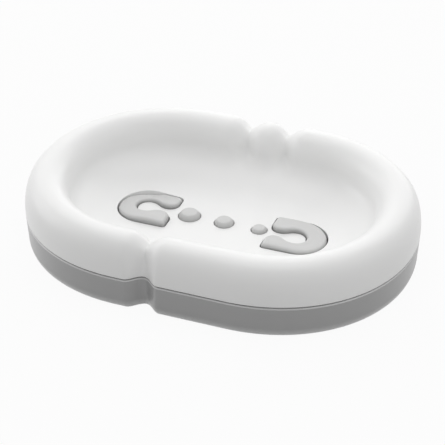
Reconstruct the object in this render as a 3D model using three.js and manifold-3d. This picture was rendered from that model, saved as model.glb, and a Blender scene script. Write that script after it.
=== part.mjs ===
// Soap dish: a puffy white dish that lifts off a grey drip tray, with five soft soap rests
// that stand on the tray and come up through openings in the dish floor.
// Millimetres, +Z up, origin on the table under the middle of the dish, front towards -Y.

import * as THREE from 'three';
import { mergeVertices } from 'three/addons/utils/BufferGeometryUtils.js';
import Module from 'manifold-3d';

const wasm = await Module();
wasm.setup();

// Overall outline
const LENGTH = 131;
const WIDTH = 93.4;
const SIDE_FLAT = 36.4; // straight part of each long side
const END_FULLNESS = 2.06; // 2 is an elliptical end, more is squarer

// Heights above the table
const HEIGHT = 24.3; // crest of the rim
const PARTING = 11.45; // top edge of the tray
const DISH_FLOOR = 7.8; // upper face of the dish floor

// Rim of the dish, sizes measured inwards from the outline
const PARTING_GAP = 0.35;
const DISH_WALL = 2.2;
const SHOULDER = 12.5; // height where the outer wall starts to lean in
const CREST_INSET = 7.4;
const CREST_FULLNESS = 2.45;
const INNER_FULLNESS = 2.2;
const KNEE_INSET = 14.4; // steepest place of the inner wall
const KNEE = 16;
const FILLET_RUN = 16; // inner wall to floor
const LIP_BEVEL = 0.6;

// Grooves that pinch the rim: one in front, two at the back
const FRONT_GROOVES = [-9.3];
const BACK_GROOVES = [-3.7, 9.95];
const GROOVE_DEPTH = 3.5;
const GROOVE_REACH = 5.8; // half width on the walls
const GROOVE_CREST_REACH = 7; // half width on the crest
const GROOVE_BOTTOM = 2; // round on the walls, more pointed on the crest
const GROOVE_CREST_BOTTOM = 1.2;
const GROOVE_RUN_OUT = 2.4;
const GROOVE_INNER_SHARE = 0.7; // depth left at the knee

// Drip tray
const TRAY_SET_IN = 0.3; // tray wall behind the dish wall
const TRAY_FLOOR = 2;
const TRAY_EDGE_RUN = 1.6; // rounded lower edge
const TRAY_EDGE_RISE = 3;
const TRAY_BEVEL = 0.6;
const TRAY_FILLET = 2.5;
const SPIGOT_CLEARANCE = 0.35;
const SPIGOT_WALL = 1.5;
const SPIGOT_RISE = 2.6;
const SPIGOT_LEAD = 0.5; // chamfer that guides the dish on

// Soap rests
const REST_BELOW = 1.2; // below the dish floor
const DRAIN_GAP = 0.45; // round each horseshoe, where water runs through
const REST_WALL = 1.5; // round the socket for the peg
const REST_ROOF = 2.4; // above the socket
const SEAT_GAP = 0.3;
const POST_STEP = 0.5; // post inside the outline of its rest

const HORSESHOE_PROUD = 1.85; // highest place of the top above the dish floor
const HORSESHOE_LEANS = [0.08, 0.02]; // fall of the top towards the back, left and right
const HORSESHOE_DOME = 0.7; // fall of the top one radius away from its highest place
const HORSESHOE_DOME_X = 5; // highest place, from the centre of the bend towards the tips
const HORSESHOE_RADIUS = 9.2;
const HORSESHOE_REACH = 10; // centre of the bend to the tips
const HORSESHOE_BEND = 6.2; // thickness round the bend
const HORSESHOE_EYE = 3.8; // radius of the hole at the bend
const HORSESHOE_MOUTH = 3.8; // narrow gap between the tips
const HORSESHOE_TIP_ROUND = 3;
const HORSESHOE_CORNER = 0.8;
const SHARPEST_CORNER = 0.1; // what is left of the corner on the post and the peg
const HORSESHOE_EDGE = 1.1; // rounding of the top edge
const HORSESHOE_CENTRES = 53.6; // bend centre to bend centre

const DOT_PROUD = 1.65;
const DOT_GAP = 0.2;
const DOT_DIAMETERS = [7.3, 6.4, 5.1]; // left to right
const DOT_PITCH = 12.2;
const DOT_MIDDLE = 1; // x of the middle dot
const DOT_EDGE = 1.35;
const DOT_CROWN = 0.2;
const DOT_SOCKET_SHARE = 0.5; // socket radius to dot radius

// Non-slip feet
const FOOT_DIAMETER = 11;
const FOOT_PROUD = 0.5; // below the tray
const FOOT_SUNK = 0.8; // inside its recess
const FOOT_CHAMFER = 0.3;
const FOOT_CLEARANCE = 0.3;
const FOOT_SPACING_X = 74;
const FOOT_SPACING_Y = 50;

// Finishes
const DISH_FINISH = { color: 0xf2f2f0, roughness: 0.35 };
const TRAY_FINISH = { color: 0x8e8e8d, roughness: 0.45 };
const REST_FINISH = { color: 0xc4c4c2, roughness: 0.5 };
const FOOT_FINISH = { color: 0x5a5a5a, roughness: 0.8 };

// Facets
const SIDE_STEPS = 22;
const END_STEPS = 16;
const ARC_STEPS = 4;
const HORSESHOE_STEPS = 3;
const ROUND_STEPS = 18;
const SAME_POINT = 1e-4; // points this close are one point

// Levels that follow from the sizes above
const trayUnderside = FOOT_PROUD;
const trayTop = trayUnderside + TRAY_FLOOR;
const dishUnderside = DISH_FLOOR - DISH_WALL;
const lipLevel = PARTING + PARTING_GAP;
const restBottom = dishUnderside - REST_BELOW;
const horseshoeTop = DISH_FLOOR + HORSESHOE_PROUD;
const horseshoeSocketTop = horseshoeTop - REST_ROOF;
const dotTop = DISH_FLOOR + DOT_PROUD;
const dotSocketTop = dotTop - REST_ROOF;

// Numbers from 0 to 1 in even steps, both ends included
function steps(count) {
  return Array.from({ length: count + 1 }, (_, i) => i / count);
}

// Places round the outline, counter-clockwise from the front right, each with its outward normal
function outlineStations() {
  const flat = SIDE_FLAT / 2;
  const run = LENGTH / 2 - flat;
  const half = WIDTH / 2;
  const power = 2 / END_FULLNESS;
  const end = steps(END_STEPS).map((t) => {
    const angle = (t - 0.5) * Math.PI;
    const c = t === 0 || t === 1 ? 0 : Math.cos(angle);
    const s = Math.sin(angle);
    const normal = new THREE.Vector2(
      c ** (2 - power) / run,
      (Math.sign(s) * Math.abs(s) ** (2 - power)) / half,
    ).normalize();
    const place = new THREE.Vector2(
      flat + run * c ** power,
      Math.sign(s) * half * Math.abs(s) ** power,
    );
    return { place, normal };
  });
  const back = steps(SIDE_STEPS).slice(1, -1).map((t) => ({
    place: new THREE.Vector2(flat * (1 - 2 * t), half),
    normal: new THREE.Vector2(0, 1),
  }));
  const turned = (list) => list.map(({ place, normal }) => ({
    place: place.clone().negate(),
    normal: normal.clone().negate(),
  }));
  return [...end, ...back, ...turned(end), ...turned(back)];
}

const stations = outlineStations();

// How far the rim is pinched at a place, 0 for none and 1 at the bottom of a groove. The groove
// changes its form from the walls, where up is 0, to the crest, where up is 1.
function pinch({ place, normal }, up) {
  const grooves = normal.y > 0 ? BACK_GROOVES : FRONT_GROOVES;
  const reach = THREE.MathUtils.lerp(GROOVE_REACH, GROOVE_CREST_REACH, up);
  const bottom = THREE.MathUtils.lerp(GROOVE_BOTTOM, GROOVE_CREST_BOTTOM, up);
  return grooves.reduce((sum, x) => {
    const away = Math.min(Math.abs(place.x - x) / reach, 1);
    return sum + (1 - away ** bottom) ** GROOVE_RUN_OUT;
  }, 0);
}

// A ring of points round the outline for one place of a wall section. The section's place is
// an inset from the outline and a height, and push is how a groove moves it at full depth.
function wallRing({ inset, z, push, up }) {
  return stations.map((station) => {
    const weight = pinch(station, up);
    const { place, normal } = station;
    const depth = inset + push.x * weight;
    return new THREE.Vector3(
      place.x - normal.x * depth,
      place.y - normal.y * depth,
      z + push.y * weight,
    );
  });
}

// Skins closed rings of equal counts into one solid, with a flat lid on the first and the last
function loft(rings) {
  const count = rings[0].length;
  const positions = rings.flat().flatMap((p) => [p.x, p.y, p.z]);
  const index = [];
  for (let r = 0; r + 1 < rings.length; r += 1) {
    for (let i = 0; i < count; i += 1) {
      const a = r * count + i;
      const b = r * count + ((i + 1) % count);
      index.push(a, b, b + count, a, b + count, a + count);
    }
  }
  const lid = (ring) => THREE.ShapeUtils.triangulateShape(ring.map((p) => new THREE.Vector2(p.x, p.y)), []);
  const last = (rings.length - 1) * count;
  lid(rings[0]).forEach(([a, b, c]) => index.push(a, c, b));
  lid(rings.at(-1)).forEach(([a, b, c]) => index.push(last + a, last + b, last + c));
  const geometry = new THREE.BufferGeometry();
  geometry.setAttribute('position', new THREE.Float32BufferAttribute(positions, 3));
  geometry.setIndex(index);
  return geometry;
}

function solid(geometry) {
  const bare = geometry.clone();
  bare.deleteAttribute('normal');
  bare.deleteAttribute('uv');
  const merged = mergeVertices(bare, SAME_POINT);
  return new wasm.Manifold(new wasm.Mesh({
    numProp: 3,
    vertProperties: new Float32Array(merged.attributes.position.array),
    triVerts: new Uint32Array(merged.index.array),
  }));
}

function geometryOf(body) {
  const mesh = body.getMesh();
  const geometry = new THREE.BufferGeometry();
  geometry.setAttribute('position', new THREE.Float32BufferAttribute(mesh.vertProperties, 3));
  geometry.setIndex(Array.from(mesh.triVerts));
  return geometry;
}

function piece(name, geometry, finish) {
  const flat = geometry.index ? geometry.toNonIndexed() : geometry;
  flat.computeVertexNormals();
  const mesh = new THREE.Mesh(flat, new THREE.MeshStandardMaterial({ ...finish, metalness: 0 }));
  mesh.name = name;
  return mesh;
}

// The rim's upper skin in section, from the lip over the crest down to the floor. Each place
// has the normal of the skin, which the lower skin and the grooves both follow.
function rimSection() {
  const arc = steps(ARC_STEPS).slice(1).map((t) => (t * Math.PI) / 2);
  const power = 2 / CREST_FULLNESS;
  const at = (inset, z, nx, ny, share) => {
    const normal = new THREE.Vector2(nx, ny).normalize();
    return { inset, z, normal, share };
  };
  const rise = HEIGHT - SHOULDER;
  const outer = [at(0, lipLevel + LIP_BEVEL, -1, 0, 1), at(0, SHOULDER, -1, 0, 1)];
  const crest = arc.map((a) => at(
    CREST_INSET * (1 - Math.max(Math.cos(a), 0) ** power),
    SHOULDER + rise * Math.sin(a) ** power,
    -(Math.max(Math.cos(a), 0) ** (2 - power)) / CREST_INSET,
    Math.sin(a) ** (2 - power) / rise,
    1,
  ));
  const fall = KNEE_INSET - CREST_INSET;
  const innerRise = HEIGHT - KNEE;
  const innerPower = 2 / INNER_FULLNESS;
  const inner = arc.map((a) => at(
    CREST_INSET + fall * Math.sin(a) ** innerPower,
    KNEE + innerRise * Math.max(Math.cos(a), 0) ** innerPower,
    Math.sin(a) ** (2 - innerPower) / fall,
    Math.max(Math.cos(a), 0) ** (2 - innerPower) / innerRise,
    1 - (1 - GROOVE_INNER_SHARE) * Math.sin(a),
  ));
  const drop = KNEE - DISH_FLOOR;
  const fillet = arc.map((a) => at(
    KNEE_INSET + FILLET_RUN * (1 - Math.cos(a)),
    KNEE - drop * Math.sin(a),
    Math.cos(a) / FILLET_RUN,
    Math.sin(a) / drop,
    GROOVE_INNER_SHARE * (1 - Math.sin(a)) ** 2,
  ));
  return [...outer, ...crest, ...inner, ...fillet];
}

function horseshoe(grow) {
  const outer = HORSESHOE_RADIUS + grow;
  const tip = HORSESHOE_REACH + grow;
  const eye = HORSESHOE_EYE - grow;
  const eyeX = HORSESHOE_BEND - HORSESHOE_RADIUS + HORSESHOE_EYE;
  const mouth = HORSESHOE_MOUTH / 2 - grow;
  const round = HORSESHOE_TIP_ROUND + grow;
  const corner = Math.max(HORSESHOE_CORNER + grow, SHARPEST_CORNER);
  const roundX = tip - round;
  const roundY = mouth + round;
  const bulge = (roundX - eyeX) / 2;
  const shape = new THREE.Shape();
  shape.absarc(0, 0, outer, Math.PI / 2, Math.PI * 1.5, false);
  shape.absarc(tip - corner, corner - outer, corner, -Math.PI / 2, 0, false);
  shape.absarc(roundX, -roundY, round, 0, Math.PI / 2, false);
  shape.bezierCurveTo(roundX - bulge, -mouth, eyeX + bulge, -eye, eyeX, -eye);
  shape.absarc(eyeX, 0, eye, Math.PI * 1.5, Math.PI / 2, true);
  shape.bezierCurveTo(eyeX + bulge, eye, roundX - bulge, mouth, roundX, mouth);
  shape.absarc(roundX, roundY, round, -Math.PI / 2, 0, false);
  shape.absarc(tip - corner, outer - corner, corner, 0, Math.PI / 2, false);
  return shape;
}

// Both horseshoes open towards the middle, so the right one is the left one turned round
const horseshoePlaces = [
  { name: 'left_horseshoe_rest', x: -HORSESHOE_CENTRES / 2, turn: 0, lean: HORSESHOE_LEANS[0] },
  { name: 'right_horseshoe_rest', x: HORSESHOE_CENTRES / 2, turn: Math.PI, lean: -HORSESHOE_LEANS[1] },
];

const dotPlaces = ['large_dot_rest', 'medium_dot_rest', 'small_dot_rest'].map((name, i) => ({
  name,
  radius: DOT_DIAMETERS[i] / 2,
  x: DOT_MIDDLE + (i - 1) * DOT_PITCH,
}));

const footColumns = [['left', -FOOT_SPACING_X / 2], ['right', FOOT_SPACING_X / 2]];
const footRows = [['front', -FOOT_SPACING_Y / 2], ['back', FOOT_SPACING_Y / 2]];
const footPlaces = footRows.flatMap(([row, y]) => footColumns.map(
  ([column, x]) => ({ name: `${row}_${column}_foot`, x, y }),
));

function horseshoeRing(grow, z) {
  const points = horseshoe(grow).getPoints(HORSESHOE_STEPS);
  const ring = points.filter((p, i) => p.distanceTo(points[(i + 1) % points.length]) > SAME_POINT);
  return ring.map((p) => new THREE.Vector3(p.x, p.y, z));
}

function horseshoePrism(grow, low, high, { x, turn }) {
  return loft([horseshoeRing(grow, low), horseshoeRing(grow, high)]).rotateZ(turn).translate(x, 0, 0);
}

function roundPrism(radius, low, high, { x, y = 0 }) {
  const drum = new THREE.CylinderGeometry(radius, radius, high - low, ROUND_STEPS);
  return drum.rotateX(Math.PI / 2).translate(x, y, (low + high) / 2);
}

// A profile of radius and height, turned about the upright axis
function turnedSolid(profile) {
  return new THREE.LatheGeometry(profile, ROUND_STEPS).rotateX(Math.PI / 2);
}

// White dish: one even shell, with an opening round each rest
function makeDish() {
  const upper = rimSection();
  const place = ({ inset, z, normal, share }, thickness) => ({
    inset: inset - normal.x * thickness,
    z: z - normal.y * thickness,
    push: normal.clone().multiplyScalar(-GROOVE_DEPTH * share),
    up: THREE.MathUtils.smoothstep(z, SHOULDER, HEIGHT),
  });
  const lip = upper[0];
  const sideways = { push: new THREE.Vector2(GROOVE_DEPTH, 0), up: 0 };
  const section = [
    ...upper.slice(1).reverse().map((spot) => place(spot, DISH_WALL)),
    { inset: DISH_WALL, z: lipLevel, ...sideways },
    { inset: LIP_BEVEL, z: lipLevel, ...sideways },
    place(lip, 0),
    ...upper.slice(1).map((spot) => place(spot, 0)),
  ];
  let body = solid(loft(section.map(wallRing)));
  horseshoePlaces.forEach((spot) => {
    body = body.subtract(solid(horseshoePrism(DRAIN_GAP, restBottom, horseshoeTop, spot)));
  });
  dotPlaces.forEach((spot) => {
    body = body.subtract(solid(roundPrism(spot.radius + DOT_GAP, restBottom, dotTop, spot)));
  });
  return piece('upper_dish', geometryOf(body), DISH_FINISH);
}

// Grey tray: wall with a spigot that centres the dish, posts and pegs for the rests, foot recesses
function makeTray() {
  const spigotOuter = DISH_WALL + SPIGOT_CLEARANCE;
  const spigotInner = spigotOuter + SPIGOT_WALL;
  const spigotTop = PARTING + SPIGOT_RISE;
  const arc = steps(ARC_STEPS).map((t) => (t * Math.PI) / 2);
  const edge = arc.map((a) => [
    TRAY_SET_IN + TRAY_EDGE_RUN * (1 - Math.sin(a)),
    trayUnderside + TRAY_EDGE_RISE * (1 - Math.cos(a)),
  ]);
  const fillet = arc.map((a) => [
    spigotInner + TRAY_FILLET * (1 - Math.cos(a)),
    trayTop + TRAY_FILLET * (1 - Math.sin(a)),
  ]);
  const section = [
    ...edge,
    [TRAY_SET_IN, PARTING - TRAY_BEVEL],
    [TRAY_SET_IN + TRAY_BEVEL, PARTING],
    [spigotOuter, PARTING],
    [spigotOuter, spigotTop - SPIGOT_LEAD],
    [spigotOuter + SPIGOT_LEAD, spigotTop],
    [spigotInner, spigotTop],
    ...fillet,
  ];
  const push = new THREE.Vector2(GROOVE_DEPTH, 0);
  let body = solid(loft(section.map(([inset, z]) => wallRing({ inset, z, push, up: 0 }))));
  const root = trayTop - TRAY_FLOOR / 2;
  const shoulder = restBottom - SEAT_GAP;
  horseshoePlaces.forEach((spot) => {
    const pegTop = horseshoeSocketTop - SEAT_GAP;
    body = body.add(solid(horseshoePrism(-POST_STEP, root, shoulder, spot)));
    body = body.add(solid(horseshoePrism(-REST_WALL - SEAT_GAP, root, pegTop, spot)));
  });
  dotPlaces.forEach((spot) => {
    const pegTop = dotSocketTop - SEAT_GAP;
    const pegRadius = spot.radius * DOT_SOCKET_SHARE - SEAT_GAP;
    body = body.add(solid(roundPrism(spot.radius - POST_STEP, root, shoulder, spot)));
    body = body.add(solid(roundPrism(pegRadius, root, pegTop, spot)));
  });
  footPlaces.forEach((spot) => {
    const recessTop = trayUnderside + FOOT_SUNK + FOOT_CLEARANCE;
    const radius = FOOT_DIAMETER / 2 + FOOT_CLEARANCE;
    body = body.subtract(solid(roundPrism(radius, 0, recessTop, spot)));
  });
  return piece('drip_tray', geometryOf(body), TRAY_FINISH);
}

// Horseshoe rest: a domed, leaning top with rounded edges, and a socket below for the tray's peg
function makeHorseshoe(spot) {
  const sink = ({ x, y }) => {
    const away = Math.hypot(x - HORSESHOE_DOME_X, y) / HORSESHOE_RADIUS;
    return spot.lean * y + HORSESHOE_DOME * away ** 2;
  };
  const crown = steps(ARC_STEPS).map((t) => (t * Math.PI) / 2).map((a) => horseshoeRing(
    -HORSESHOE_EDGE * (1 - Math.cos(a)),
    horseshoeTop - HORSESHOE_EDGE * (1 - Math.sin(a)),
  ).map((p) => p.setZ(p.z - sink(p))));
  const rings = [
    horseshoeRing(-REST_WALL, horseshoeSocketTop),
    horseshoeRing(-REST_WALL, restBottom),
    horseshoeRing(0, restBottom),
    ...crown,
  ];
  const mesh = piece(spot.name, loft(rings), REST_FINISH);
  mesh.rotation.z = spot.turn;
  mesh.position.x = spot.x;
  return mesh;
}

// Dot rest: a low crowned button turned about its own axis, hollow below for its peg
function makeDot(spot) {
  const { radius } = spot;
  const socket = radius * DOT_SOCKET_SHARE;
  const shoulder = dotTop - DOT_CROWN;
  const edge = steps(ARC_STEPS).map((t) => (t * Math.PI) / 2).map((a) => new THREE.Vector2(
    radius - DOT_EDGE * (1 - Math.cos(a)),
    shoulder - DOT_EDGE * (1 - Math.sin(a)),
  ));
  const profile = [
    new THREE.Vector2(0, dotSocketTop),
    new THREE.Vector2(socket, dotSocketTop),
    new THREE.Vector2(socket, restBottom),
    new THREE.Vector2(radius, restBottom),
    ...edge,
    new THREE.Vector2(0, dotTop),
  ];
  const mesh = piece(spot.name, turnedSolid(profile), REST_FINISH);
  mesh.position.x = spot.x;
  return mesh;
}

// Foot: a soft disc pressed into a recess under the tray
function makeFoot(spot) {
  const radius = FOOT_DIAMETER / 2;
  const top = FOOT_PROUD + FOOT_SUNK;
  const profile = [
    new THREE.Vector2(0, 0),
    new THREE.Vector2(radius - FOOT_CHAMFER, 0),
    new THREE.Vector2(radius, FOOT_CHAMFER),
    new THREE.Vector2(radius, top),
    new THREE.Vector2(0, top),
  ];
  const mesh = piece(spot.name, turnedSolid(profile), FOOT_FINISH);
  mesh.position.set(spot.x, spot.y, 0);
  return mesh;
}

const soapDish = new THREE.Group();
soapDish.name = 'soap_dish';
soapDish.add(makeTray());
soapDish.add(makeDish());
soapDish.add(...horseshoePlaces.map(makeHorseshoe));
soapDish.add(...dotPlaces.map(makeDot));
soapDish.add(...footPlaces.map(makeFoot));

export default soapDish;
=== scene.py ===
# %% [markdown]
# # A two-tone soap dish
# The object is a white moulded dish with a puffy rim. It sits on a grey drip tray, and five soft grey
# rests stand on the tray and come up through openings in the dish floor.
# The frame that is loaded first holds the pieces at their real size and says what moves.
# The cells below dress each piece with a fine surface and a finish, in the same place.

# %% Load the frame
import math

import bmesh
import bpy
import numpy as np
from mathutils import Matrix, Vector


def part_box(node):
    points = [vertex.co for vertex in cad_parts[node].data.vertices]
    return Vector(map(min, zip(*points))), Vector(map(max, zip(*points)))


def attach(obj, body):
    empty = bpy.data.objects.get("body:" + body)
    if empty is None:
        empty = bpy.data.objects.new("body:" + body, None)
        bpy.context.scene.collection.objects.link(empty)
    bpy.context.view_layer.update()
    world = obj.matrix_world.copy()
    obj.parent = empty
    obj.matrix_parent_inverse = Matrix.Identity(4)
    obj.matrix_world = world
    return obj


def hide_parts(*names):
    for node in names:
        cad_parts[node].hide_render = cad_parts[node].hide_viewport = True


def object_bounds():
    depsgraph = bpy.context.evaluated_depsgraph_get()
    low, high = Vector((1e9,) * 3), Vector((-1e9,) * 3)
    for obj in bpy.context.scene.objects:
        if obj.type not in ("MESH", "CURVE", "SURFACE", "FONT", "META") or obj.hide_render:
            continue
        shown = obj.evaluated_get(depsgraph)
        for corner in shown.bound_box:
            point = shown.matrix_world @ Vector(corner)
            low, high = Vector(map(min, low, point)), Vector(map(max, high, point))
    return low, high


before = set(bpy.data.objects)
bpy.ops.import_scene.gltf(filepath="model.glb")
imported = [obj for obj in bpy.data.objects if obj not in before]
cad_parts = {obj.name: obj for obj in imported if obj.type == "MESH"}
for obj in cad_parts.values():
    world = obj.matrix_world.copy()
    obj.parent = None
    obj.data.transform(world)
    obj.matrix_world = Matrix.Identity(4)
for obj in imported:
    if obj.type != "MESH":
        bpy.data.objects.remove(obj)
cad_low, cad_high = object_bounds()
MM = 0.001
print("nodes:", sorted(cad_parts))
print("size in mm:", [round(v / MM, 2) for v in cad_high - cad_low])

# %% [markdown]
# ## Camera
# The photograph was taken with a long lens, from the front right and about a third of the way up.
# A camera could be placed by eye, but here its direction, distance and lens were worked out from the
# outline of the dish.
# The lens is given for a sensor 36 mm wide.

# %% Camera
VIEW_AZIMUTH = math.radians(20.42)
VIEW_ELEVATION = math.radians(33.13)
VIEW_DISTANCE = 0.5013
VIEW_TARGET = Vector((1.89, -3.88, 10.5)) * MM
SENSOR_MM = 36
LENS_MM = 124.38
NEAREST_SEEN = 0.01

towards_camera = Vector((
    math.sin(VIEW_AZIMUTH) * math.cos(VIEW_ELEVATION),
    -math.cos(VIEW_AZIMUTH) * math.cos(VIEW_ELEVATION),
    math.sin(VIEW_ELEVATION),
))
camera_data = bpy.data.cameras.new("camera")
camera_data.sensor_width = SENSOR_MM
camera_data.lens = LENS_MM
camera_data.clip_start = NEAREST_SEEN
camera = bpy.data.objects.new("camera", camera_data)
camera.location = VIEW_TARGET + towards_camera * VIEW_DISTANCE
camera.rotation_euler = towards_camera.to_track_quat("Z", "Y").to_euler()
bpy.context.scene.collection.objects.link(camera)
bpy.context.scene.camera = camera
print("camera at", [round(v, 3) for v in camera.location])

# %% [markdown]
# ## The outline and its grooves
# Seen from above, the dish is a stadium: two straight sides and two full, almost elliptical ends.
# Both the dish and the tray follow this outline, so it is worked out once, as a row of places with
# their outward normals. A superellipse gives the ends their fullness with a single number.

# %% Outline
HALF_LENGTH = cad_high.x
HALF_WIDTH = cad_high.y
HALF_FLAT = 18.2 * MM
END_FULLNESS = 2.06
END_STEPS = 120
SIDE_STEPS = 140


def outline():
    """Places and outward normals, counter-clockwise from the front right, as two arrays of N by 2."""
    angle = np.linspace(-math.pi / 2, math.pi / 2, END_STEPS + 1)
    cosine = np.clip(np.cos(angle), 0, 1)
    sine = np.sin(angle)
    power = 2 / END_FULLNESS
    run = HALF_LENGTH - HALF_FLAT
    end = np.column_stack([
        HALF_FLAT + run * cosine**power,
        np.sign(sine) * HALF_WIDTH * abs(sine) ** power,
    ])
    end_normal = np.column_stack([
        cosine ** (2 - power) / run,
        np.sign(sine) * abs(sine) ** (2 - power) / HALF_WIDTH,
    ])
    side_x = np.linspace(HALF_FLAT, -HALF_FLAT, SIDE_STEPS + 1)[1:-1]
    side = np.column_stack([side_x, np.full_like(side_x, HALF_WIDTH)])
    side_normal = np.tile([0.0, 1.0], (len(side), 1))
    places = np.concatenate([end, side, -end, -side])
    normals = np.concatenate([end_normal, side_normal, -end_normal, -side_normal])
    return places, normals / np.linalg.norm(normals, axis=1)[:, None]


place, normal = outline()
print("outline:", len(place), "places")

# %% [markdown]
# The rim is pinched by one groove in front and two at the back, as if fingertips had pressed dough.
# A groove is a smooth dent: its weight is 1 at the bottom and runs out to 0 on both sides. On the walls
# its bottom is round. On the crest it is a narrow notch between two full, round shoulders.

# %% Grooves
FRONT_GROOVES = [-9.3 * MM]
BACK_GROOVES = [-3.7 * MM, 9.95 * MM]
GROOVE_DEPTH = 3.5 * MM
GROOVE_REACH = 5.8 * MM
GROOVE_CREST_REACH = 7 * MM
GROOVE_BOTTOM = 2
GROOVE_CREST_BOTTOM = 1.2
GROOVE_RUN_OUT = 2.4


def pinch(up):
    """How far each place of the outline is pinched, from 0 to 1, on the walls (0) or the crest (1)."""
    reach = GROOVE_REACH + (GROOVE_CREST_REACH - GROOVE_REACH) * up
    bottom = GROOVE_BOTTOM + (GROOVE_CREST_BOTTOM - GROOVE_BOTTOM) * up
    weight = np.zeros(len(place))
    for side, grooves in ((normal[:, 1] <= 0, FRONT_GROOVES), (normal[:, 1] > 0, BACK_GROOVES)):
        for x in grooves:
            away = np.minimum(abs(place[:, 0] - x) / reach, 1)
            weight += side * (1 - away**bottom) ** GROOVE_RUN_OUT
    return weight


print("deepest pinch:", round(pinch(0).max(), 3))

# %% [markdown]
# ## Rings and skins
# Both mouldings are lofts: rings of points that follow the outline at some inset and height, joined by
# quads. Blender could sweep a profile along a path, but then the grooves could not change along the
# section, so the rings are worked out with numpy and handed over as one mesh.

# %% Loft helpers
SHARP = math.radians(40)


def ring(inset, height, push=(0.0, 0.0), up=0.0):
    """The outline moved inwards and up. The push, an inset and a height, is added in full in a groove."""
    weight = pinch(up)
    depth = inset + push[0] * weight
    flat = place - normal * depth[:, None]
    return np.column_stack([flat, height + push[1] * weight])


def skin(name, rings):
    """One closed mesh through rings of equal counts, with one flat face over the first and the last."""
    count = len(rings[0])
    step = np.arange(count)
    ahead = np.roll(step, -1)
    faces = [step[::-1].tolist(), (step + (len(rings) - 1) * count).tolist()]
    for first in range(0, (len(rings) - 1) * count, count):
        a, b = first + step, first + ahead
        faces += np.column_stack([a, b, b + count, a + count]).tolist()
    mesh = bpy.data.meshes.new(name)
    mesh.from_pydata(np.concatenate(rings).tolist(), [], faces)
    piece = bpy.data.objects.new(name, mesh)
    bpy.context.scene.collection.objects.link(piece)
    return piece


def smooth(piece):
    """Shades a piece smooth, except over edges that are really sharp."""
    piece.data.shade_smooth()
    piece.data.set_sharp_from_angle(angle=SHARP)
    print(piece.name, "has", len(piece.data.polygons), "faces")


def quarter(count):
    """Cosines and sines from 0 to a right angle, without the first ones."""
    angle = np.linspace(0, math.pi / 2, count + 1)[1:]
    return np.clip(np.cos(angle), 0, 1), np.sin(angle)


def shrinking(edge, count):
    """Rings that shrink from an edge towards its middle, so that a wide floor has small faces."""
    return [edge * [share, share, 1] for share in np.linspace(1, 0, count, endpoint=False)[1:]]


# %% [markdown]
# ## Outlines of the soap rests
# Two rests are horseshoes that open towards the middle, and three are round dots that get smaller
# from left to right. Their outlines come first, because the openings in the dish floor and the posts
# on the tray follow them. A horseshoe is made of arcs, lines and two gentle curves, so it can be grown
# or shrunk evenly by changing the radii.

# %% Pieces of an outline
def line(start, stop, count):
    """Points on a line, without the last one."""
    t = np.linspace(0, 1, count, endpoint=False)[:, None]
    return (1 - t) * np.array(start) + t * np.array(stop)


def arc(x, y, radius, start, stop, count):
    """Points on an arc, with its ends given in quarter turns, without the last one."""
    angle = np.linspace(start, stop, count, endpoint=False) * math.pi / 2
    return np.column_stack([x + radius * np.cos(angle), y + radius * np.sin(angle)])


def ease(start, stop, count):
    """Points on a cubic curve that leaves and arrives along X, without the last one."""
    t = np.linspace(0, 1, count, endpoint=False)[:, None]
    half_way = (start[0] + stop[0]) / 2
    first = np.array([half_way, start[1]])
    second = np.array([half_way, stop[1]])
    ends = (1 - t) ** 3 * np.array(start) + t**3 * np.array(stop)
    return ends + 3 * (1 - t) ** 2 * t * first + 3 * (1 - t) * t**2 * second


# %% Horseshoe outline
left_low, left_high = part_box("left_horseshoe_rest")
right_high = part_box("right_horseshoe_rest")[1]
HORSESHOE_RADIUS = (left_high.y - left_low.y) / 2
LEFT_CENTRE = left_low.x + HORSESHOE_RADIUS
RIGHT_CENTRE = right_high.x - HORSESHOE_RADIUS
HORSESHOE_REACH = left_high.x - LEFT_CENTRE
HORSESHOE_BEND = 6.2 * MM
HORSESHOE_EYE = 3.8 * MM
HALF_MOUTH = 1.9 * MM
TIP_ROUND = 3 * MM
SHARPEST_CORNER = 0.1 * MM
BEND_STEPS = 48
ARM_STEPS = 12
CORNER_STEPS = 8
END_LINE_STEPS = 4
TIP_STEPS = 16
EYE_STEPS = 36


def horseshoe(grow, shift, corners):
    """Outline of a horseshoe about its bend's centre, open towards +X, with its hole moved along Y.

    The two corners are the roundings of the arms' outer ends, at -Y and at +Y.
    """
    outer = HORSESHOE_RADIUS + grow
    tip = HORSESHOE_REACH + grow
    eye = HORSESHOE_EYE - grow
    eye_x = HORSESHOE_BEND - HORSESHOE_RADIUS + HORSESHOE_EYE
    mouth = HALF_MOUTH - grow
    round_tip = TIP_ROUND + grow
    low_corner, high_corner = [max(corner + grow, SHARPEST_CORNER) for corner in corners]
    round_x, round_y = tip - round_tip, mouth + round_tip
    low, high = shift - round_y, shift + round_y
    return np.concatenate([
        arc(0, 0, outer, 1, 3, BEND_STEPS),
        line((0, -outer), (tip - low_corner, -outer), ARM_STEPS),
        arc(tip - low_corner, low_corner - outer, low_corner, -1, 0, CORNER_STEPS),
        line((tip, low_corner - outer), (tip, low), END_LINE_STEPS),
        arc(round_x, low, round_tip, 0, 1, TIP_STEPS),
        ease((round_x, shift - mouth), (eye_x, shift - eye), TIP_STEPS),
        arc(eye_x, shift, eye, 3, 1, EYE_STEPS),
        ease((eye_x, shift + eye), (round_x, shift + mouth), TIP_STEPS),
        arc(round_x, high, round_tip, -1, 0, TIP_STEPS),
        line((tip, high), (tip, outer - high_corner), END_LINE_STEPS),
        arc(tip - high_corner, outer - high_corner, high_corner, 0, 1, CORNER_STEPS),
        line((tip - high_corner, outer), (0, outer), ARM_STEPS),
    ])


print("horseshoe:", len(horseshoe(0, 0, (MM, MM))), "points")

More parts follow.
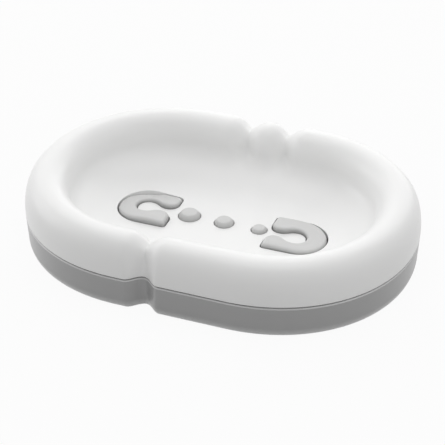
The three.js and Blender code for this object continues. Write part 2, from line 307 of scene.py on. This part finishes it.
# %% [markdown]
# Each rest is then placed by a rule: given a growth, it returns its outline in the frame.
# The right horseshoe is the left one turned half way round, and a dot is a circle. In the photograph the
# hole of each horseshoe lies a little off its middle, the right one clearly nearer to the front, and
# the arms' outer corners are rounder at the back than in front.

# %% Rest outlines
DOTS = ["large_dot_rest", "medium_dot_rest", "small_dot_rest"]
ROUND_STEPS = 96
LEFT_SHIFT = -0.3 * MM
RIGHT_SHIFT = 1.1 * MM
LEFT_CORNERS = (0.8 * MM, 1.8 * MM)
RIGHT_CORNERS = (1.1 * MM, 0.8 * MM)


def radius_of(node):
    """Radius of a round node, from its box in the frame."""
    low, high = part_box(node)
    return (high.x - low.x) / 2


def disc(node):
    """Rule for a round node, from its box in the frame."""
    low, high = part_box(node)
    middle = (low + high) / 2
    radius = radius_of(node)
    return lambda grow: arc(middle.x, middle.y, radius + grow, 0, 4, ROUND_STEPS)


rest_rules = {
    "left_horseshoe_rest": lambda grow: [LEFT_CENTRE, 0] + horseshoe(grow, LEFT_SHIFT, LEFT_CORNERS),
    "right_horseshoe_rest": lambda grow: [RIGHT_CENTRE, 0] - horseshoe(grow, RIGHT_SHIFT, RIGHT_CORNERS),
}
rest_rules.update({node: disc(node) for node in DOTS})
print("rests:", list(rest_rules))

# %% [markdown]
# ## The dish
# The dish is one even moulded shell. In section it rises from its lip, leans in at the shoulder, rolls
# over a full crest, drops to a steep knee and runs out into a shallow bowl.
# The section is written as a row of spots, each with its normal, so that the underside can follow at
# an even wall thickness and the grooves can press in along the normal.

# %% Rim section
PARTING = 11.45 * MM
PARTING_GAP = 0.35 * MM
LIP = PARTING + PARTING_GAP
LIP_ROUND = 0.45 * MM
DISH_WALL = 2.2 * MM
DISH_FLOOR = 7.8 * MM
HEIGHT = cad_high.z
SHOULDER = 12.5 * MM
CREST_INSET = 7.4 * MM
CREST_FULLNESS = 2.45
INNER_FULLNESS = 2.2
KNEE_INSET = 14.4 * MM
KNEE = 16 * MM
BOWL_RUN = 16 * MM
GROOVE_INNER_SHARE = 0.7
LIP_STEPS = 8
CURVE_STEPS = 20


def spots(inset, height, normal_in, normal_up, share):
    """Spots of the section as rows: inset, height, unit normal and the groove's share there."""
    columns = np.broadcast_arrays(inset, height, normal_in, normal_up, share)
    length = np.hypot(normal_in, normal_up)
    return np.column_stack([columns[0], columns[1], columns[2] / length, columns[3] / length, columns[4]])


def rim_section():
    """The upper skin from the lip over the crest to the floor."""
    cosine, sine = quarter(CURVE_STEPS)
    outer, inner = 2 / CREST_FULLNESS, 2 / INNER_FULLNESS
    rise, fall, high, drop = HEIGHT - SHOULDER, KNEE_INSET - CREST_INSET, HEIGHT - KNEE, KNEE - DISH_FLOOR
    turn_cosine, turn_sine = quarter(LIP_STEPS)
    wall_z = SHOULDER - (SHOULDER - LIP) * turn_cosine
    wall = spots(LIP_ROUND * (1 - turn_sine), wall_z, -np.ones(LIP_STEPS), 0, 1)
    crest_out = spots(
        CREST_INSET * (1 - cosine**outer), SHOULDER + rise * sine**outer,
        -(cosine ** (2 - outer)) / CREST_INSET, sine ** (2 - outer) / rise, 1,
    )
    crest_in = spots(
        CREST_INSET + fall * sine**inner, KNEE + high * cosine**inner,
        sine ** (2 - inner) / fall, cosine ** (2 - inner) / high, 1 - (1 - GROOVE_INNER_SHARE) * sine,
    )
    bowl = spots(
        KNEE_INSET + BOWL_RUN * (1 - cosine), KNEE - drop * sine,
        cosine / BOWL_RUN, sine / drop, GROOVE_INNER_SHARE * (1 - sine) ** 2,
    )
    return np.concatenate([wall, crest_out, crest_in, bowl])


section = rim_section()
print("rim section:", len(section), "spots")

# %% [markdown]
# The rings of both skins follow from the section. On the hidden lower skin the grooves are shallower,
# because at full depth it would fold into itself. The lip between the skins is a flat edge whose
# outside is rounded, and the floor is closed by rings that shrink towards the middle, so that its
# faces stay small enough to be cut cleanly.

# %% Dish shell
FLOOR_RINGS = 12
SIDEWAYS = (GROOVE_DEPTH, 0.0)
UNDER_DEPTH = 2.5 * MM


def crest_share(height):
    """0 on the walls and 1 on the crest, with a smooth change between."""
    t = min(max((height - SHOULDER) / (HEIGHT - SHOULDER), 0), 1)
    return t * t * (3 - 2 * t)


def skin_ring(spot, thickness, depth):
    """Ring of the upper skin, or of the lower one at the wall's thickness, with grooves of this depth."""
    inset, height, normal_in, normal_up, share = spot
    push = (-normal_in * depth * share, -normal_up * depth * share)
    return ring(inset - normal_in * thickness, height - normal_up * thickness, push, crest_share(height))


upper = [skin_ring(spot, 0, GROOVE_DEPTH) for spot in section]
lower = [skin_ring(spot, DISH_WALL, UNDER_DEPTH) for spot in section[LIP_STEPS - 1:]][::-1]
lip = [ring(DISH_WALL, LIP, SIDEWAYS), ring(LIP_ROUND, LIP, SIDEWAYS)]
underside = shrinking(lower[0], FLOOR_RINGS)[::-1]
dish = skin("dish_shell", underside + lower + lip + upper + shrinking(upper[-1], FLOOR_RINGS))
print("dish before its openings:", len(dish.data.polygons), "faces")

# %% [markdown]
# The openings are cut with a Boolean modifier, as the core pins of a mould would leave them. Each
# cutter is a rest's outline grown by the drain gap. Behind the left horseshoe the wall of the opening
# leans back, so the gap is wider there, runs out towards the tip and shows a crescent of that wall.
# The result is kept as a plain mesh. A cut leaves points that nearly meet, so these are welded after
# it, which keeps the mesh closed.

# %% Openings in the dish floor
HORSESHOE_GAP = 0.45 * MM
DOT_GAP = 0.32 * MM
BEYOND = 4 * MM
WELD = 0.0085 * MM
BACK_GAP = 0.95 * MM
BACK_DEPTH = 2 * MM
RUN_OUT = 2 * MM


def level(rule, grow, height):
    """One ring over an outline."""
    flat = rule(grow)
    return np.column_stack([flat, np.full(len(flat), height)])


def weld(mesh):
    """Merges points that nearly meet and drops slivers, so that a cut mesh stays closed."""
    shape = bmesh.new()
    shape.from_mesh(mesh)
    bmesh.ops.remove_doubles(shape, verts=shape.verts, dist=WELD)
    bmesh.ops.dissolve_degenerate(shape, edges=shape.edges, dist=WELD)
    bmesh.ops.triangulate(shape, faces=[face for face in shape.faces if len(face.verts) > 4])
    shape.to_mesh(mesh)
    shape.free()


def combine(piece, operation, tools):
    """Joins or cuts a piece with other solids, and keeps the result as its mesh."""
    for tool in tools:
        modifier = piece.modifiers.new("combine", "BOOLEAN")
        modifier.operation = operation
        modifier.solver = "EXACT"
        modifier.object = tool
    graph = bpy.context.evaluated_depsgraph_get()
    made = bpy.data.meshes.new_from_object(piece.evaluated_get(graph))
    piece.modifiers.clear()
    piece.data = made
    for tool in tools:
        bpy.data.objects.remove(tool)
    weld(made)


def back_share(points):
    """How far a point is at the back of the left horseshoe, 1 behind its bend and 0 from near its tip on."""
    along = np.clip((left_high.x - RUN_OUT - points[:, 0]) / (HORSESHOE_REACH - RUN_OUT), 0, 1)
    return along * np.clip(points[:, 1] / HORSESHOE_RADIUS, 0, 1)


def opening(node, rule):
    """Cutter for one rest, a little wider than the rest all round."""
    gap = DOT_GAP if node in DOTS else HORSESHOE_GAP
    rings = [level(rule, gap, DISH_FLOOR + z) for z in (-BEYOND, -BACK_DEPTH, BEYOND)]
    if node.startswith("left"):
        top = rings[-1]
        top[:, 1] += BACK_GAP * (1 + BEYOND / BACK_DEPTH) * back_share(top)
    return skin("opening_" + node, rings)


combine(dish, "DIFFERENCE", [opening(node, rule) for node, rule in rest_rules.items()])
smooth(dish)

# %% [markdown]
# ## The rests
# The rests are moulded in a softer, light grey material. A horseshoe has a slightly domed top with a
# rounded edge, which is highest between its arms, so its inner edge stands proud and its outer edge
# is nearly level with the floor. The left one leans as well, with its front up, and its back edge
# sinks below the floor. A dot is a low button with slanted sides and a flat top. Each rest is hollow
# below, for a peg of the tray.

# %% Rests
REST_ROOF = 2.4 * MM
REST_WALL = 1.5 * MM
HORSESHOE_PROUD = 1.85 * MM
HORSESHOE_TOP = DISH_FLOOR + HORSESHOE_PROUD
HORSESHOE_LEANS = {"left_horseshoe_rest": 0.08, "right_horseshoe_rest": 0.02}
HORSESHOE_DOME = 0.7 * MM
HORSESHOE_DOME_X = 5 * MM
HORSESHOE_EDGE = 1.1 * MM
HORSESHOE_RIDGE = 2.2 * MM
BACK_FALL = 0.8 * MM
DOT_RISE = 0.5
DOT_FOOT = DISH_FLOOR + 0.3 * MM
DOT_SLANT = 0.27
DOT_STRAIGHT = 0.6
DOT_CROWN = 0.1 * MM
DOT_SOCKET_SHARE = 0.5
DOT_ROOF = DISH_FLOOR - 0.75 * MM
CROWN_RINGS = 8
EDGE_STEPS = 10
rest_bottom = left_low.z


def socket_rings(rule, wall, roof):
    """The hollow for the peg and the flat underside round it."""
    return [level(rule, -wall, roof), level(rule, -wall, rest_bottom), level(rule, 0, rest_bottom)]


def edge_rings(rule, radius, top):
    """The outer wall's upper end, rolled over into the top."""
    rings = [level(rule, 0, top - radius)]
    for cosine, sine in zip(*quarter(EDGE_STEPS)):
        rings.append(level(rule, -radius * (1 - cosine), top - radius * (1 - sine)))
    return rings


def horseshoe_rest(node):
    """A horseshoe whose top is domed and leans towards the back."""
    rule = rest_rules[node]
    middle = LEFT_CENTRE + HORSESHOE_DOME_X if node.startswith("left") else RIGHT_CENTRE - HORSESHOE_DOME_X
    top = edge_rings(rule, HORSESHOE_EDGE, HORSESHOE_TOP)
    for shrink in np.linspace(HORSESHOE_EDGE, HORSESHOE_RIDGE, CROWN_RINGS)[1:]:
        top.append(level(rule, -shrink, HORSESHOE_TOP))
    for points in top:
        away = (points[:, :2] - [middle, 0]) / HORSESHOE_RADIUS
        points[:, 2] -= HORSESHOE_LEANS[node] * points[:, 1] + HORSESHOE_DOME * (away**2).sum(axis=1)
        if node.startswith("left"):
            points[:, 2] -= BACK_FALL * np.clip(2 * back_share(points) - 1, 0, 1)
    return skin(node + "_pad", socket_rings(rule, REST_WALL, HORSESHOE_TOP - REST_ROOF) + top)


def dot_rest(node):
    """A low button with slanted sides, a rounded shoulder and a nearly flat top."""
    rule = rest_rules[node]
    radius = radius_of(node)
    top = DISH_FLOOR + DOT_RISE * radius
    rings = socket_rings(rule, radius * (1 - DOT_SOCKET_SHARE), DOT_ROOF)
    foot = np.array([0, DOT_FOOT])
    corner = np.array([DOT_SLANT * radius, top - DOT_CROWN])
    before = foot + DOT_STRAIGHT * (corner - foot)
    after = corner + np.array([(1 - DOT_STRAIGHT) * DOT_SLANT * radius, 0])
    rings.append(level(rule, 0, DOT_FOOT))
    for t in np.linspace(0, 1, EDGE_STEPS):
        shrink, height = (1 - t) ** 2 * before + 2 * t * (1 - t) * corner + t**2 * after
        rings.append(level(rule, -shrink, height))
    for share in np.linspace(0, 1, CROWN_RINGS, endpoint=False)[1:]:
        shrink = after[0] + (radius - after[0]) * share
        rings.append(level(rule, -shrink, top - DOT_CROWN * (1 - share) ** 2))
    return skin(node + "_pad", rings)


rests = {node: horseshoe_rest(node) for node in HORSESHOE_LEANS}
rests.update({node: dot_rest(node) for node in DOTS})
for piece in rests.values():
    smooth(piece)

# %% [markdown]
# ## The drip tray
# The tray is a second moulding on the same outline, set in a little so that a fine shadow line parts
# it from the dish. Its wall leans in towards the floor, as a mould needs, and has a small chamfer on top
# and a rounded edge below. A spigot centres the dish, and posts with pegs carry the rests.
# The wall is lofted and the posts are joined to it.

# %% Tray shell
TRAY_SET_IN = 0.5 * MM
TRAY_TOP_SET_IN = 0.1 * MM
TRAY_UNDERSIDE = 0.5 * MM
TRAY_TOP = 2.5 * MM
TRAY_EDGE_RUN = 1.6 * MM
TRAY_EDGE_RISE = 3 * MM
TRAY_BEVEL = 0.4 * MM
TRAY_FILLET = 2.5 * MM
SPIGOT_CLEARANCE = 0.35 * MM
SPIGOT_WALL = 1.5 * MM
SPIGOT_RISE = 2.6 * MM
SPIGOT_LEAD = 0.5 * MM
SPIGOT_OUTER = DISH_WALL + SPIGOT_CLEARANCE
SPIGOT_INNER = SPIGOT_OUTER + SPIGOT_WALL
SPIGOT_TOP = PARTING + SPIGOT_RISE
ARC_STEPS = 16
WALL_STEPS = 5
TRAY_RINGS = 6

cosine, sine = quarter(ARC_STEPS)
edge_spots = np.column_stack([
    TRAY_SET_IN + TRAY_EDGE_RUN * (1 - sine), TRAY_UNDERSIDE + TRAY_EDGE_RISE * (1 - cosine),
])
wall_spots = np.column_stack([
    np.linspace(TRAY_SET_IN, TRAY_TOP_SET_IN, WALL_STEPS)[1:],
    np.linspace(TRAY_UNDERSIDE + TRAY_EDGE_RISE, PARTING - TRAY_BEVEL, WALL_STEPS)[1:],
])
bevel_spots = np.array([(TRAY_TOP_SET_IN + TRAY_BEVEL, PARTING)])
spigot_spots = np.array([
    (SPIGOT_OUTER, PARTING), (SPIGOT_OUTER, SPIGOT_TOP - SPIGOT_LEAD),
    (SPIGOT_OUTER + SPIGOT_LEAD, SPIGOT_TOP), (SPIGOT_INNER, SPIGOT_TOP),
    (SPIGOT_INNER, TRAY_TOP + TRAY_FILLET),
])
fillet_spots = np.column_stack([
    SPIGOT_INNER + TRAY_FILLET * (1 - cosine), TRAY_TOP + TRAY_FILLET * (1 - sine),
])
base_spot = np.array([(TRAY_SET_IN + TRAY_EDGE_RUN, TRAY_UNDERSIDE)])
profile = np.concatenate([base_spot, edge_spots, wall_spots, bevel_spots, spigot_spots, fillet_spots])
walls = [ring(inset, height, SIDEWAYS) for inset, height in profile]
underneath = shrinking(walls[0], TRAY_RINGS)[::-1]
tray = skin("tray_shell", underneath + walls + shrinking(walls[-1], TRAY_RINGS))
print("tray before its posts:", len(tray.data.polygons), "faces")

# %% [markdown]
# A post carries the flat underside of its rest, and a narrower peg on it fills the hollow.
# Both are columns over the rest's outline. The feet sit in shallow round recesses, cut from below.

# %% Posts, pegs and recesses
SEAT_GAP = 0.3 * MM
POST_STEP = 0.5 * MM
FOOT_CLEARANCE = 0.3 * MM
FEET = sorted(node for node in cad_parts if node.endswith("_foot"))
foot_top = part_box(FEET[0])[1].z
post_root = (TRAY_UNDERSIDE + TRAY_TOP) / 2


def column(name, rule, grow, low, high):
    """A straight column over an outline."""
    return skin(name, [level(rule, grow, low), level(rule, grow, high)])


def posts(node):
    """The post below one rest, and the peg on it."""
    rule = rest_rules[node]
    peg, roof = -REST_WALL, HORSESHOE_TOP - REST_ROOF
    if node in DOTS:
        peg, roof = -radius_of(node) * (1 - DOT_SOCKET_SHARE), DOT_ROOF
    return [
        column("post_" + node, rule, -POST_STEP, post_root, rest_bottom - SEAT_GAP),
        column("peg_" + node, rule, peg - SEAT_GAP, post_root, roof - SEAT_GAP),
    ]


combine(tray, "UNION", [tool for node in rest_rules for tool in posts(node)])
recesses = [
    column("recess_" + node, disc(node), FOOT_CLEARANCE, -BEYOND, foot_top + FOOT_CLEARANCE) for node in FEET
]
combine(tray, "DIFFERENCE", recesses)
smooth(tray)

# %% [markdown]
# ## The feet
# Four soft discs keep the tray from sliding. They are turned shapes with a rounded lower edge, and
# only half a millimetre of them shows below the tray.

# %% Feet
FOOT_ROUND = 0.3 * MM
FOOT_STEPS = 6


def foot(node):
    """A disc whose lower edge is rounded."""
    rule = disc(node)
    rings = [level(rule, -FOOT_ROUND, 0)]
    for cosine, sine in zip(*quarter(FOOT_STEPS)):
        rings.append(level(rule, -FOOT_ROUND * (1 - sine), FOOT_ROUND * (1 - cosine)))
    return skin(node + "_disc", [*rings, level(rule, 0, foot_top)])


feet = {node: foot(node) for node in FEET}
for piece in feet.values():
    smooth(piece)

# %% [markdown]
# ## A small language for finishes
# A shader is a sum of simple maths on node sockets. The class below wraps one socket, so that plus,
# minus and times can be written as usual and each adds a Math node.
# Every other node comes from one method: its kind, its settings, and then values or links by socket.

# %% Shader helpers
class Socket:
    """One output of a shader node, with arithmetic."""

    def __init__(self, finish, output):
        self.finish = finish
        self.output = output

    def math(self, operation, first, second):
        return self.finish.node("ShaderNodeMath", {"operation": operation}, {0: first, 1: second})

    def __add__(self, other):
        return self.math("ADD", self, other)

    def __radd__(self, other):
        return self.math("ADD", other, self)

    def __sub__(self, other):
        return self.math("SUBTRACT", self, other)

    def __rsub__(self, other):
        return self.math("SUBTRACT", other, self)

    def __mul__(self, other):
        return self.math("MULTIPLY", self, other)

    def __rmul__(self, other):
        return self.math("MULTIPLY", other, self)


class Finish:
    """The emptied node tree of a material or of the world, and the one method that adds to it."""

    def __init__(self, owner):
        owner.use_nodes = True
        self.owner = owner
        self.tree = owner.node_tree
        self.tree.nodes.clear()

    def node(self, kind, settings, sockets, output=0):
        """Adds a node: its settings first, then its sockets, as values or as links."""
        made = self.tree.nodes.new(kind)
        for name, value in settings.items():
            setattr(made, name, value)
        for key, value in sockets.items():
            if isinstance(value, Socket):
                self.tree.links.new(value.output, made.inputs[key])
            else:
                made.inputs[key].default_value = value
        return Socket(self, made.outputs[output])

    def ramp(self, value, start, stop):
        """0 up to a start, 1 from a stop on, and even between."""
        return self.node("ShaderNodeMapRange", {}, {"Value": value, "From Min": start, "From Max": stop})

    def blend(self, share, first, second):
        """A colour between two, where a share of 1 is the second one."""
        return self.node("ShaderNodeMix", {"data_type": "RGBA"}, {0: share, 6: first, 7: second}, 2)

    def surface(self, shader, kind="ShaderNodeOutputMaterial"):
        """Ends the tree with a shader, and gives back the material or the world."""
        end = self.tree.nodes.new(kind)
        self.tree.links.new(shader.output, end.inputs["Surface"])
        return self.owner


# %% [markdown]
# ## Finishes
# All pieces are moulded, so one recipe serves them: an even colour that drifts very slightly over some
# centimetres, a roughness that drifts with it, and a fine grain from the spark-eroded mould.
# The grain is a bump of a few thousandths of a millimetre, much too fine to be modelled.
# The photograph shows the soft rests darker on their upright sides than this light makes them, so their
# colour gets painted shade that follows the upward part of the normal. It also shows the tray's edges
# paler, and these are painted highlights in bands of height, on walls that face away from the middle.

# %% Finishes
BROAD_SCALE = 25
GRAIN_SCALE = 4000
GRAIN_DETAIL = 1.0
NOISE_MIDDLE = 0.5
COLOUR_DRIFT = 0.015
ROUGHNESS_DRIFT = 0.06
FULLY_UP = 0.9
FULLY_OUT = 10 * MM
PLASTIC_IOR = 1.5


def painted_highlight_tint(finish, tint, where, facing, bands):
    """A tint with painted highlights: paler in bands of height, on walls that face away from the middle."""
    height = finish.node("ShaderNodeSeparateXYZ", {}, {"Vector": where}, "Z")
    away = finish.node("ShaderNodeVectorMath", {"operation": "DOT_PRODUCT"}, {0: where, 1: facing}, "Value")
    outside = finish.ramp(away, 0, FULLY_OUT)
    for low, high, blur, share in bands:
        band = finish.ramp(height, low - blur, low) * finish.ramp(height, high + blur, high)
        tint = finish.blend(share * band * outside, tint, (1, 1, 1, 1))
    return tint


def moulded(name, colour, side, roughness, grain, painted_highlight_bands=()):
    """A moulded plastic with painted shade on upright sides, a grain of this height and painted highlights
    on edges.
    """
    finish = Finish(bpy.data.materials.new(name))
    where = finish.node("ShaderNodeTexCoord", {}, {}, "Object")
    broad = finish.node("ShaderNodeTexNoise", {}, {"Vector": where, "Scale": BROAD_SCALE})
    fine = finish.node("ShaderNodeTexNoise", {}, {
        "Vector": where,
        "Scale": GRAIN_SCALE,
        "Detail": GRAIN_DETAIL,
    })
    deep = [channel * (1 - COLOUR_DRIFT) for channel in colour]
    tint = finish.blend(broad, (*deep, 1), (*colour, 1))
    # Painted shade: upright sides get the colour times side, and the plain colour comes back as the normal
    # turns up.
    facing = finish.node("ShaderNodeNewGeometry", {}, {}, "Normal")
    up = finish.node("ShaderNodeSeparateXYZ", {}, {"Vector": facing}, "Z")
    flat = finish.ramp(up, 0, FULLY_UP)
    shade = [channel * side for channel in colour]
    tint = finish.blend(flat, (*shade, 1), tint)
    # Painted highlights on the tray's edges, in bands of height.
    if painted_highlight_bands:
        tint = painted_highlight_tint(finish, tint, where, facing, painted_highlight_bands)
    relief = finish.node("ShaderNodeBump", {}, {"Height": fine, "Distance": grain})
    shader = finish.node("ShaderNodeBsdfPrincipled", {}, {
        "Base Color": tint,
        "Roughness": roughness + ROUGHNESS_DRIFT * (broad - NOISE_MIDDLE),
        "Normal": relief,
        "IOR": PLASTIC_IOR,
    })
    print("finish:", name)
    return finish.surface(shader)


# The side argument paints shade: the share of colour kept on upright sides, where 1 paints none.
white = moulded("satin_white", (0.93, 0.93, 0.925), side=1, roughness=0.35, grain=0.002 * MM)
soft = moulded("soft_grey", (0.67, 0.67, 0.665), side=0.68, roughness=0.5, grain=0.006 * MM)
dark = moulded("dark_rubber", (0.05, 0.05, 0.05), side=1, roughness=0.7, grain=0.01 * MM)

# %% [markdown]
# The tray's two painted bands are a painted highlight on the chamfer below the parting line and painted
# light from the floor on the rounded lower edge. Each is given by its lower and upper height, the height
# over which it fades, and its share of white.

# %% Grey with painted highlights
# Painted highlight on the chamfer, and painted light from the floor on the rounded lower edge.
TOP_BAND = (PARTING - TRAY_BEVEL, PARTING - 0.35 * TRAY_BEVEL, 0.05 * MM, 0.5)
LOWER_BAND = (0, TRAY_UNDERSIDE, TRAY_EDGE_RISE, 0.55)
painted_highlight_bands = [TOP_BAND, LOWER_BAND]
grey = moulded("matte_grey", (0.41, 0.41, 0.41), side=1, roughness=0.3, grain=0.004 * MM, painted_highlight_bands=painted_highlight_bands)

# %% [markdown]
# ## Putting the pieces in place of the plain ones
# Every fine piece replaces its plain node in the frame and rides on the same body, so that it moves with
# the joint.

# %% Dressing
def dress(piece, node, body, material):
    """Gives a piece its material, its place in the frame and the body that it rides on."""
    piece.data.materials.clear()
    piece.data.materials.append(material)
    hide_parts(node)
    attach(piece, body)


dress(dish, "upper_dish", "dish", white)
dress(tray, "drip_tray", "tray", grey)
for node, piece in rests.items():
    dress(piece, node, "tray", soft)
for node, piece in feet.items():
    dress(piece, node, "tray", dark)
print("dressed:", 2 + len(rests) + len(feet), "pieces")

# %% [markdown]
# ## Floor and light
# The photograph is a catalogue shot: a white ground without a horizon, soft light from above and
# slightly behind, and paler light from both sides. The front of the dish is lit mostly by the ground.
# The floor is a plain diffuse sheet. Only where the camera or a reflection sees it does it turn to
# white, with the Light Path node, so that it never throws extra light on the dish.

# %% Floor
FLOOR_HALF = 3.0
FLOOR_LEVEL = -0.05 * MM
FLOOR_GREY = 0.7
FLOOR_SHADOW = 0.06


def in_sight(finish):
    """1 where the camera, a reflection or glass sees a surface, and 0 for the light that it sends on."""
    rays = ["Is Camera Ray", "Is Glossy Ray", "Is Transmission Ray"]
    camera_ray, glossy, clear = [finish.node("ShaderNodeLightPath", {}, {}, ray) for ray in rays]
    return clear.math("MAXIMUM", clear, camera_ray.math("MAXIMUM", camera_ray, glossy))


def floor_finish():
    """A grey sheet that catches the shadow, seen through a white glow."""
    finish = Finish(bpy.data.materials.new("ground"))
    sheet = finish.node("ShaderNodeBsdfDiffuse", {}, {"Color": (FLOOR_GREY, FLOOR_GREY, FLOOR_GREY, 1)})
    glow = finish.node("ShaderNodeEmission", {}, {"Color": (1, 1, 1, 1), "Strength": 1.0})
    share = in_sight(finish) * (1 - FLOOR_SHADOW)
    return finish.surface(finish.node("ShaderNodeMixShader", {}, {0: share, 1: sheet, 2: glow}))


floor_mesh = bpy.data.meshes.new("floor")
signs = [(-1, -1), (1, -1), (1, 1), (-1, 1)]
corners = [(x * FLOOR_HALF, y * FLOOR_HALF, FLOOR_LEVEL) for x, y in signs]
floor_mesh.from_pydata(corners, [], [(0, 1, 2, 3)])
floor_mesh.materials.append(floor_finish())
floor = bpy.data.objects.new("floor", floor_mesh)
bpy.context.scene.collection.objects.link(floor)
print("floor:", 2 * FLOOR_HALF, "m wide")

# %% [markdown]
# The world gives an even fill from everywhere, and is a white backdrop where it is seen. Five softboxes,
# 1.2 m away, do the modelling: one overhead, two at the back and one on each side. Each is given the
# brightness that it adds to a white sheet on the floor, which is easier to judge than its power in
# watts. Because light simply adds up, each was rendered alone, and the mixture was solved to match the
# shading of the photograph. A softbox is written as its tilt and turn in degrees, its width in metres
# and that brightness.

# %% Light
WORLD_STRENGTH = 0.432
LIGHT_DISTANCE = 1.2
SOFTBOXES = {
    "overhead": (7, 0, 1.0, 0.225),
    "back": (65, 0, 1.0, 0.11),
    "back_left": (55, -45, 0.8, 0.073),
    "left": (70, -90, 0.8, 0.068),
    "right": (47, 90, 0.8, 0.062),
}

studio = Finish(bpy.data.worlds.new("studio"))
fill = studio.node("ShaderNodeBackground", {}, {"Color": (1, 1, 1, 1), "Strength": WORLD_STRENGTH})
backdrop = studio.node("ShaderNodeBackground", {}, {"Color": (1, 1, 1, 1), "Strength": 1.0})
either = studio.node("ShaderNodeMixShader", {}, {0: in_sight(studio), 1: fill, 2: backdrop})
bpy.context.scene.world = studio.surface(either, "ShaderNodeOutputWorld")


def softbox(name, tilt, turn, size, brightness):
    """A square light, tilted from straight above and turned from the back towards +X, in degrees."""
    tilt, turn = math.radians(tilt), math.radians(turn)
    data = bpy.data.lights.new(name, "AREA")
    data.size = size
    data.energy = brightness * (math.pi * LIGHT_DISTANCE) ** 2 / math.cos(tilt)
    towards = Vector((math.sin(tilt) * math.sin(turn), math.sin(tilt) * math.cos(turn), math.cos(tilt)))
    light = bpy.data.objects.new(name, data)
    light.location = towards * LIGHT_DISTANCE
    light.rotation_euler = towards.to_track_quat("Z", "Y").to_euler()
    bpy.context.scene.collection.objects.link(light)


for name, values in SOFTBOXES.items():
    softbox(name, *values)
bpy.context.scene.view_settings.view_transform = "Standard"
print("lights:", list(SOFTBOXES))
